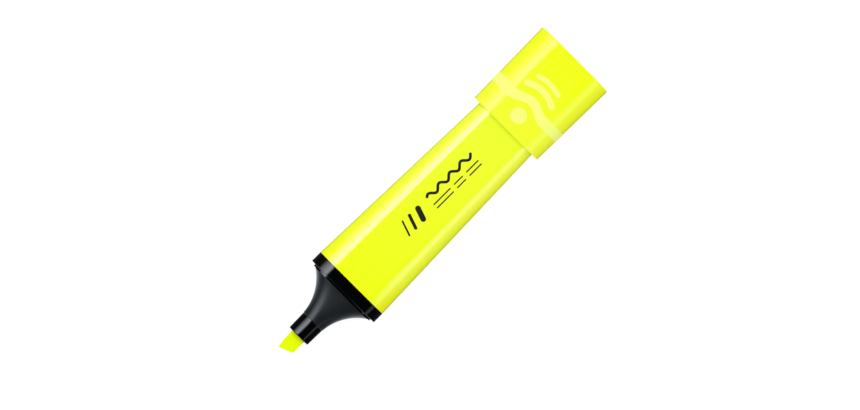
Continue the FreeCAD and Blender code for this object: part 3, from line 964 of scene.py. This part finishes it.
half_w = NIB_WIDTH / 2
long_corner = half_w - NIB_SIDE_CUT
heel_x = NIB_TIP + NIB_SLANT * (long_corner + half_w)
bevel_drop = (NIB_THICK - NIB_EDGE_THICK) / 2
cuts = [
    ((NIB_TIP, long_corner, 0), (-1, -NIB_SLANT, 0)),
    ((NIB_TIP, long_corner, 0), (-NIB_SIDE_CUT, NIB_SIDE_CUT_LENGTH, 0)),
    ((NIB_TIP, half_w - NIB_EASE_CUT, 0), (-NIB_EASE_CUT, NIB_EASE_LENGTH, 0)),
    ((heel_x + NIB_HEEL_CUT, -half_w, 0), (-1, -1, 0)),
    ((NIB_TIP, 0, NIB_EDGE_THICK / 2), (-bevel_drop, 0, NIB_BEVEL_LENGTH)),
    ((NIB_TIP, 0, -NIB_EDGE_THICK / 2), (-bevel_drop, 0, -NIB_BEVEL_LENGTH)),
    ((NIB_REAR - NIB_TAIL_TAPER, half_w, 0), (1, 1, 0)),
    ((NIB_REAR - NIB_TAIL_TAPER, -half_w, 0), (1, -1, 0)),
]
bar = nib_bar()
for point, outward in cuts:
    shave(bar, point, outward)
bar_mesh = bpy.data.meshes.new("nib_bar")
bar.to_mesh(bar_mesh)
bar.free()
bar_mesh.materials.append(NIB)
blank = place("nib_blank", bar_mesh)
felt = blank.modifiers.new("Felt", "REMESH")
felt.mode = "VOXEL"
felt.voxel_size = NIB_VOXEL * MM
nib = evaluated_copy(blank, "chisel_nib")
nib.data.materials.clear()
nib.data.materials.append(NIB)

# %% Uneven fibres
outward = [vertex.normal.copy() for vertex in nib.data.vertices]
for vertex, normal in zip(nib.data.vertices, outward):
    grain = Vector((vertex.co.x / FIBRE_DRAW, vertex.co.y, vertex.co.z)) / (FIBRE_SIZE * MM)
    depth = noise.noise(grain) * 0.5 + 0.5
    vertex.co -= normal * depth * FIBRE_DEPTH * MM
soften(nib, NIB_CREASE)
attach(nib, "pen")
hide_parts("nib")

# %% [markdown]
# ## Cap
#
# The cap is the same racetrack with the opposite taper, closed at one end. Its mouth has a small lead-in
# so that it starts easily over the barrel. The raised satin pattern outside is for the fingers: a band
# that runs right round with a hump across each broad face, a round spot, and two arcs about the spot.

# %% The cap shell and its ribs
LEAD_IN = 0.35
RIB_START = 4.0
RIB_END = 13.6
RIB_SLIP = 0.06
CAP_RIB_Y = 4.0

cap_outline = [
    (CAP_END, 0, 0),
    (CAP_END, CAP_END_R, 0.5),
    (CAP_MOUTH, CAP_MOUTH_R, 0.12),
    (CAP_MOUTH, CAP_BORE_MOUTH_R + LEAD_IN, 0),
    (CAP_MOUTH + LEAD_IN, CAP_BORE_MOUTH_R, 0),
    (CAP_END - CAP_END_WALL, CAP_BORE_END_R, 0.02),
    (CAP_END - CAP_END_WALL, 0, 0),
]
cap = gate_cut(turned("cap_turned", cap_outline, CAP_YELLOW), CAP_END, "cap_body")
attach(cap, "cap")
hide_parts("cap_shell")

cap_ribs = ribs(
    "cap_ribs",
    CAP_YELLOW,
    CAP_MOUTH + RIB_START,
    CAP_MOUTH + RIB_END,
    lambda x: barrel_r(x) + RIB_SLIP,
    lambda x: cap_bore_r(x) + RIB_ROOT_DEPTH,
    rib_spots(CAP_RIB_Y),
)
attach(cap_ribs, "cap")

# %% The band with its hump
RELIEF = 0.08
ROOT = 0.25
BAND_CENTRE = CAP_MOUTH + 9.2
BAND_WIDTH = 3.36
BAND_CREST_WIDTH = 2.8
BAND_RISE = 2.1
BAND_REACH = 6.5
PAD_EDGE = 0.05
CAP_TAPER = (CAP_END_R - CAP_MOUTH_R) / (CAP_END - CAP_MOUTH)


def band_outline():
    front = BAND_CENTRE - BAND_WIDTH / 2
    rear = BAND_CENTRE + BAND_WIDTH / 2
    corners = [
        (rear, cap_r(rear) - ROOT, 0),
        (rear, cap_r(rear) + RELIEF, PAD_EDGE),
        (front, cap_r(front) + RELIEF, PAD_EDGE),
        (front, cap_r(front) - ROOT, 0),
    ]
    return corners + corners[:1]


band = turned(
    "cap_band",
    band_outline(),
    SATIN,
    **{
        "Flat Steps": 60,
        "Hump Rise": BAND_RISE * MM,
        "Hump Reach": BAND_REACH * MM,
        "Hump Taper": CAP_TAPER,
        "Hump Centre": BAND_CENTRE * MM,
        "Hump Narrowing": 1 - BAND_CREST_WIDTH / BAND_WIDTH,
    },
)
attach(band, "cap")

# %% [markdown]
# ## Pads on both faces
#
# The spot and the arcs are pads, each a racetrack seen face on: a spot is one with no flat, an arc is one
# whose flat has been bent about the spot. The lathe turns the pad, and a second tree bends it, lays it
# on the tapered face, and repeats it on the back.

# %% Bending pads onto the faces
SPOT_X = CAP_MOUTH + 5.4
SPOT_R = 2.5
STRAIGHT_BEND = 400.0
RIPPLES = ((10.3, 1.9, 5.2), (13.3, 1.5, 4.1))


def pads_on_faces():
    net, given = geometry_tree(
        "pads_on_faces",
        {
            "Bend": 0.01,
            "Bend Centre": 0.0,
            "Face Height": 0.007,
            "Taper": 0.0,
        },
    )
    height, across, out = net.parts(net.node("GeometryNodeInputPosition"))
    turn = across / given["Bend"]
    reach = given["Bend"] + out
    x = reach * net.math("COSINE", turn) + given["Bend Centre"]
    y = reach * net.math("SINE", turn)
    z = given["Face Height"] + x * given["Taper"] + height
    front = net.lay(given["Geometry"], net.point(x, y, z))
    mirrored = net.node("GeometryNodeTransform", {}, {"Geometry": front, "Scale": (1, 1, -1)})
    back = net.node("GeometryNodeFlipFaces", {}, {"Mesh": mirrored})
    both = net.node("GeometryNodeJoinGeometry", {}, {"Geometry": front})
    net.tree.links.new(back.socket, both.socket.node.inputs[0])
    moved = net.node("GeometryNodeTransform", {}, {"Geometry": both, "Translation": given["Origin"]})
    return close_tree(net, moved, given["Finish"])


PADS = pads_on_faces()


def pad(name, half_width, half_flat, bend, bend_centre):
    """A raised pad on both broad faces of the cap."""
    top = [(RELIEF, 0, 0), (RELIEF, half_width, PAD_EDGE)]
    root = [(-ROOT, half_width, 0), (-ROOT, 0, 0)]
    points = [(p.x * MM, 0, p.y * MM) for p in rounded(top + root)]
    source = point_mesh(name + "_outline", points)
    blank_values = {"Half Flat": half_flat * MM, "Arc Steps": 24, "Flat Steps": 40}
    flat_pad = grow(name + "_flat", LATHE, source, SATIN, blank_values, origin=(0.0, 0.0, 0.0))
    values = {
        "Bend": bend * MM,
        "Bend Centre": bend_centre * MM,
        "Face Height": (cap_r(CAP_MOUTH) - CAP_TAPER * CAP_MOUTH) * MM,
        "Taper": CAP_TAPER,
    }
    mesh = flat_pad.data
    bpy.data.objects.remove(flat_pad)
    made = soften(grow(name, PADS, mesh, SATIN, values))
    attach(made, "cap")
    return made


pad("cap_spot", SPOT_R, 0.0, STRAIGHT_BEND, SPOT_X - STRAIGHT_BEND)
for number, (radius, width, half_span) in enumerate(RIPPLES, 1):
    half_flat = math.asin(half_span / radius) * radius
    pad(f"cap_arc_{number}", width / 2, half_flat, radius, SPOT_X)

# %% [markdown]
# ## The print
#
# A pad printer lays a film of black ink on the barrel's face. The marks here are plain ones: three
# slanted strokes of growing width, a wavy marker line, and dashes like the lines of a page. Each is one
# stroke of ink with its own width, so one tree turns every path into a stroke: it widens the path, rounds
# its ends by a circle's rule, gives the ink its thickness, and lays it on the tapered face.

# %% Strokes of ink
INK_THICK = 0.02
ROUND_END_LEAST = 0.0004


def ink_strokes():
    net, given = geometry_tree(
        "ink_strokes",
        {
            "Step": 0.00012,
            "Thickness": 0.00002,
            "Face Height": 0.007,
            "Taper": 0.0,
        },
    )
    paths = net.node("GeometryNodeMeshToCurve", {}, {"Mesh": given["Geometry"]})
    fine = net.node(
        "GeometryNodeResampleCurve",
        {"mode": "LENGTH"},
        {"Curve": paths, "Length": given["Step"]},
    )
    flat = net.node("GeometryNodeSetCurveNormal", {"mode": "Z_UP"}, {"Curve": fine})
    width = net.attribute("half_width")
    travelled = net.node("GeometryNodeSplineParameter", out="Length")
    whole = net.node("GeometryNodeSplineLength", out="Length")
    from_end = net.math("MINIMUM", travelled, whole - travelled)
    short = 1 - net.math("MINIMUM", from_end / width, 1.0)
    rounded_end = net.math("SQRT", net.math("MAXIMUM", 1 - short * short, ROUND_END_LEAST))
    edge = net.node("GeometryNodeCurvePrimitiveLine", {}, {"Start": (-1, 0, 0), "End": (1, 0, 0)})
    ribbon = net.node(
        "GeometryNodeCurveToMesh",
        {},
        {"Curve": flat, "Profile Curve": edge, "Scale": width * rounded_end},
    )
    lift = net.point(0.0, 0.0, given["Thickness"])
    top = net.node("GeometryNodeSetPosition", {}, {"Geometry": ribbon, "Offset": lift})
    x, y, z = net.parts(net.node("GeometryNodeInputPosition"))
    target = net.point(x, y, z + given["Face Height"] + x * given["Taper"]) + given["Origin"]
    return close_tree(net, net.lay(top, target), given["Finish"])


STROKES = ink_strokes()

# %% The marks
MARK_STEP = 0.4
SLANT_BARS = ((23.2, 0.28), (26.0, 0.5), (29.4, 0.85))
SLANT_LEAN = 1.7
SLANT_REACH = 2.5
WAVE = (34.0, 53.0, 1.9, 0.75, 4.6, 0.42)
DASHES = ((34.0, 41.2), (42.6, 46.4), (47.8, 53.0))
DASH_ROWS = ((-0.9, 0.2), (-2.3, 0.2))


def mark_paths():
    """Every stroke as (half width, points), in millimetres: along the pen and across the face."""
    strokes = []
    for x, half_width in SLANT_BARS:
        foot = (x - SLANT_LEAN / 2, -SLANT_REACH)
        head = (x + SLANT_LEAN / 2, SLANT_REACH)
        strokes.append((half_width, [foot, head]))
    start, end, height, swing, length, half_width = WAVE
    count = round((end - start) / MARK_STEP)
    stops = [start + (end - start) * k / count for k in range(count + 1)]
    wave = [(x, height + swing * math.sin((x - start) / length * math.tau)) for x in stops]
    strokes.append((half_width, wave))
    for height, half_width in DASH_ROWS:
        for start, end in DASHES:
            strokes.append((half_width, [(start, height), (end, height)]))
    return strokes


points, edges, half_widths = [], [], []
for half_width, path in mark_paths():
    first = len(points)
    points.extend((x * MM, y * MM, 0) for x, y in path)
    edges.extend((k, k + 1) for k in range(first, len(points) - 1))
    half_widths.extend([half_width * MM] * len(path))
paths = bpy.data.meshes.new("mark_paths")
paths.from_pydata(points, edges, [])
paths.attributes.new("half_width", "FLOAT", "POINT").data.foreach_set("value", half_widths)
marks = grow(
    "barrel_print",
    STROKES,
    paths,
    INK,
    {
        "Thickness": INK_THICK * MM,
        "Face Height": BARREL_FRONT_R * MM,
        "Taper": (BARREL_REAR_R - BARREL_FRONT_R) / BARREL_LENGTH,
    },
)
print(f"{marks.name}: {len(marks.data.polygons)} faces")
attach(marks, "pen")

# %% [markdown]
# ## The table
#
# A product picture on white is a white table lit from all round, so the table is almost the colour of the
# air above it and takes hardly a shadow. It glows by itself to get there. It is kept out of reflections,
# so that the glossy plastics mirror only the tent and the cards of the next step.

# %% The table top
TABLE_SIZE = 12.0
TABLE_GREY = (0.17, 0.17, 0.17, 1)
TABLE_PALE = (0.19, 0.19, 0.19, 1)
TABLE_OWN_LIGHT = 0.9


def table_recipe(net, where):
    grain = speckle(net, where, 3.0)
    return {
        "Base Color": net.mix(grain, TABLE_GREY, TABLE_PALE),
        "Roughness": grain * 0.05 + 0.9,
    }


TABLE = finish(
    "table_white",
    table_recipe,
    Specular_IOR_Level=0.0,
    Emission_Color=(1, 1, 1, 1),
    Emission_Strength=TABLE_OWN_LIGHT,
)
table_mesh = bpy.data.meshes.new("table")
half_table = TABLE_SIZE / 2
table_corners = [(x * half_table, y * half_table, 0) for x, y in ((-1, -1), (1, -1), (1, 1), (-1, 1))]
table_mesh.from_pydata(table_corners, [], [(0, 1, 2, 3)])
table_mesh.materials.append(TABLE)
table = place("table", table_mesh)
table.visible_glossy = False
print(f"table {TABLE_SIZE:.0f} m across")

# %% [markdown]
# ## The lights
#
# Shading and shine are lit apart, as with a lamp and a set of white and black cards. Shading comes from
# pale air all round, and from the lamp of the next step. Shine comes from a tent round the pen: a long box
# of light toward +Y, brightest at its upper edge, a faint strip toward -Y, dark flags low on both sides,
# and the white table past the two ends. A pen mirrors much the same things all along its length, so the
# tent is a ramp over the angle round it. Only rays from a glossy bounce see the tent.

# %% The air and the tent
AIR_LIGHT = (0.705, 0.70, 0.70, 1)
AIR_SEEN = (1.0, 1.0, 1.0, 1)
CARD_WHITE = (0.87, 0.92, 1.0, 1)
TENT_PEAK = 8.0
KEY_SIDE = (
    (0, 0.0),
    (11, 0.02),
    (15, 2.8),
    (19, 5.8),
    (24, 7.2),
    (31, 7.0),
    (40, 5.4),
    (50, 4.1),
    (59, 2.6),
    (67, 0.95),
    (72, 0.25),
    (78, 0.05),
    (105, 0.03),
    (135, 0.08),
    (180, 0.1),
)
FAR_SIDE = (
    (0, 0.0),
    (49, 0.0),
    (54, 0.4),
    (59, 0.9),
    (64, 0.9),
    (69, 0.35),
    (74, 0.03),
    (105, 0.03),
    (180, 0.1),
)
BOX_END = 0.18
BOX_FADE = 0.4
TABLE_GLOW = 1.9
TABLE_TOP = 0.45
TABLE_FADE = 0.9
FLAG_SLOPE = 1.2
FLAG_EDGE = 0.77
SQUARE_ON_SLOPE = 4


def round_glow(net, turn, stops):
    """Brightness by angle from straight above, the stops being (degrees, brightness)."""
    scaled = [(degrees / 180, level / TENT_PEAK) for degrees, level in stops]
    ramp = net.node("ShaderNodeValToRGB", {"stops": scaled}, {0: turn / math.pi})
    return ramp * TENT_PEAK


world = bpy.data.worlds.new("soft_air")
bpy.context.scene.world = world
world.use_nodes = True
air = Net(world.node_tree)
along, across, up = air.parts(air.node("ShaderNodeTexCoord", out="Generated"))
turn = air.math("ARCTAN2", across, up)
sides = round_glow(air, turn, KEY_SIDE) + round_glow(air, turn * -1, FAR_SIDE)
endwise = air.math("ABSOLUTE", along)
sidewise = air.math("ABSOLUTE", across)
past_box = air.clamp((endwise - BOX_END) / BOX_FADE)
past_box = past_box * past_box * (3 - past_box * 2)
off_square = air.clamp(endwise * SQUARE_ON_SLOPE)
past_flags = air.clamp((endwise - sidewise) * FLAG_SLOPE + FLAG_EDGE) * off_square
table_seen = air.clamp((TABLE_TOP - up) / TABLE_FADE) * past_flags
tent = sides * (1 - past_box) + table_seen * TABLE_GLOW
seen = air.node("ShaderNodeLightPath", out="Is Camera Ray")
glossy = air.node("ShaderNodeLightPath", out="Is Glossy Ray")
tint = air.mix(glossy, air.mix(seen, AIR_LIGHT, AIR_SEEN), CARD_WHITE)
backdrop = air.node("ShaderNodeBackground", {}, {"Color": tint, "Strength": 1 - glossy + tent * glossy})
air.node("ShaderNodeOutputWorld", {}, {"Surface": backdrop})
print(f"tent: {len(KEY_SIDE)} stops toward +Y, {len(FAR_SIDE)} toward -Y")

# %% [markdown]
# ## The lamp and the side cards
#
# The lamp is large, soft and hidden from gloss, so all it gives is shading. One big card would also light
# the black front end, which has narrow bands of shine beside the broad ones of the yellow. So two curved
# cards stand along the yellow part only, one on each side. Each fades into the tent at the shoulder,
# where it starts, so that the bands grow broad without a step.

# %% The lamp and the cards
LAMP_DISTANCE = 0.6
LAMP_SIZE = (1.1, 0.5)
LAMP_ANGLE = 18.5
LAMP_WATTS = 2.46
LAMP_COLOUR = (0.78, 1.0, 1.0)
CARD_RADIUS = 0.05
CARD_STEPS = 12
CARD_LENGTH = 0.16
CARD_FADE = 0.012
FAR_CARD = (
    (32, 0.0),
    (40, 0.9),
    (48, 2.3),
    (55, 2.7),
    (62, 1.9),
    (70, 0.9),
    (80, 0.5),
    (100, 0.3),
    (115, 0.0),
)
NEAR_CARD = (
    (54, 3.4),
    (58, 2.8),
    (64, 2.0),
    (70, 1.3),
    (76, 0.75),
    (82, 0.4),
    (90, 0.22),
    (105, 0.12),
    (140, 0.1),
)


def round_pen(degrees, distance):
    """The (y, z) at that angle from straight above the pen, toward +Y, on a circle round the pen."""
    turn = math.radians(degrees)
    return math.sin(turn) * distance, AXIS_Z + math.cos(turn) * distance


def soft_lamp():
    """A soft lamp that shades but doesn't show in gloss."""
    data = bpy.data.lights.new("key_lamp", "AREA")
    data.shape = "RECTANGLE"
    data.size, data.size_y = LAMP_SIZE
    data.energy = LAMP_WATTS
    data.color = LAMP_COLOUR
    made = bpy.data.objects.new("key_lamp", data)
    bpy.context.scene.collection.objects.link(made)
    made.location = (0, *round_pen(LAMP_ANGLE, LAMP_DISTANCE))
    made.rotation_euler = (-math.radians(LAMP_ANGLE), 0, 0)
    made.visible_glossy = False
    made.visible_camera = False


def side_card(name, side, start_x, end_x, stops, tent_stops):
    """A curved card that only shows in gloss, on the side of the pen toward +Y (1) or -Y (-1)."""
    angles = [between(k, 0, CARD_STEPS, stops[0][0], stops[-1][0]) for k in range(CARD_STEPS + 1)]
    rows = [round_pen(side * degrees, CARD_RADIUS) for degrees in angles]
    points = [(x, y, z) for y, z in rows for x in (start_x, end_x)]
    faces = [(2 * k, 2 * k + 1, 2 * k + 3, 2 * k + 2) for k in range(CARD_STEPS)]
    mesh = bpy.data.meshes.new(name)
    mesh.from_pydata(points, [], faces)
    material = bpy.data.materials.new(name)
    material.use_nodes = True
    net = Net(material.node_tree)
    x, y, z = net.parts(net.node("ShaderNodeTexCoord", out="Object"))
    angle = net.math("ARCTAN2", y * side, z - AXIS_Z)
    fade = net.clamp((x - start_x) / CARD_FADE)
    glow = round_glow(net, angle, stops) * fade + round_glow(net, angle, tent_stops) * (1 - fade)
    shine = net.node("ShaderNodeEmission", {}, {"Color": CARD_WHITE, "Strength": glow})
    net.node("ShaderNodeOutputMaterial", {}, {"Surface": shine})
    mesh.materials.append(material)
    made = place(name, mesh)
    for ray in ("camera", "diffuse", "shadow", "transmission", "volume_scatter"):
        setattr(made, f"visible_{ray}", False)


soft_lamp()
print(f"lamp {LAMP_SIZE[0]} by {LAMP_SIZE[1]} m, {LAMP_WATTS} W")
side_card("far_card", -1, SHOULDER, SHOULDER + CARD_LENGTH, FAR_CARD, FAR_SIDE)
side_card("near_card", 1, SHOULDER, SHOULDER + CARD_LENGTH, NEAR_CARD, KEY_SIDE)

# %% [markdown]
# ## The camera
#
# It looks straight down, turned so that the pen lies from lower left to upper right. A long lens far away
# keeps the two sides of the pen parallel. The picture's middle is the middle of the pen.

# %% Camera over the table
VIEW_WIDTH = 0.258
VIEW_HEIGHT_ABOVE_TABLE = 0.011
AIM = Vector((0.00024, -0.00013, 0))
LENS = 500
SENSOR = 36
QUARTER_WAY = math.radians(45)
camera_data = bpy.data.cameras.new("camera")
camera_data.lens = LENS
camera_data.sensor_width = SENSOR
camera_data.clip_start = 0.1
camera_data.clip_end = 100
camera = bpy.data.objects.new("camera", camera_data)
bpy.context.scene.collection.objects.link(camera)
camera.location = AIM + Vector((0, 0, VIEW_HEIGHT_ABOVE_TABLE + VIEW_WIDTH * LENS / SENSOR))
camera.rotation_euler = (0, 0, -QUARTER_WAY)
bpy.context.scene.camera = camera
bpy.context.scene.view_settings.view_transform = "Standard"
print(f"camera {camera.location.z:.2f} m above the table")
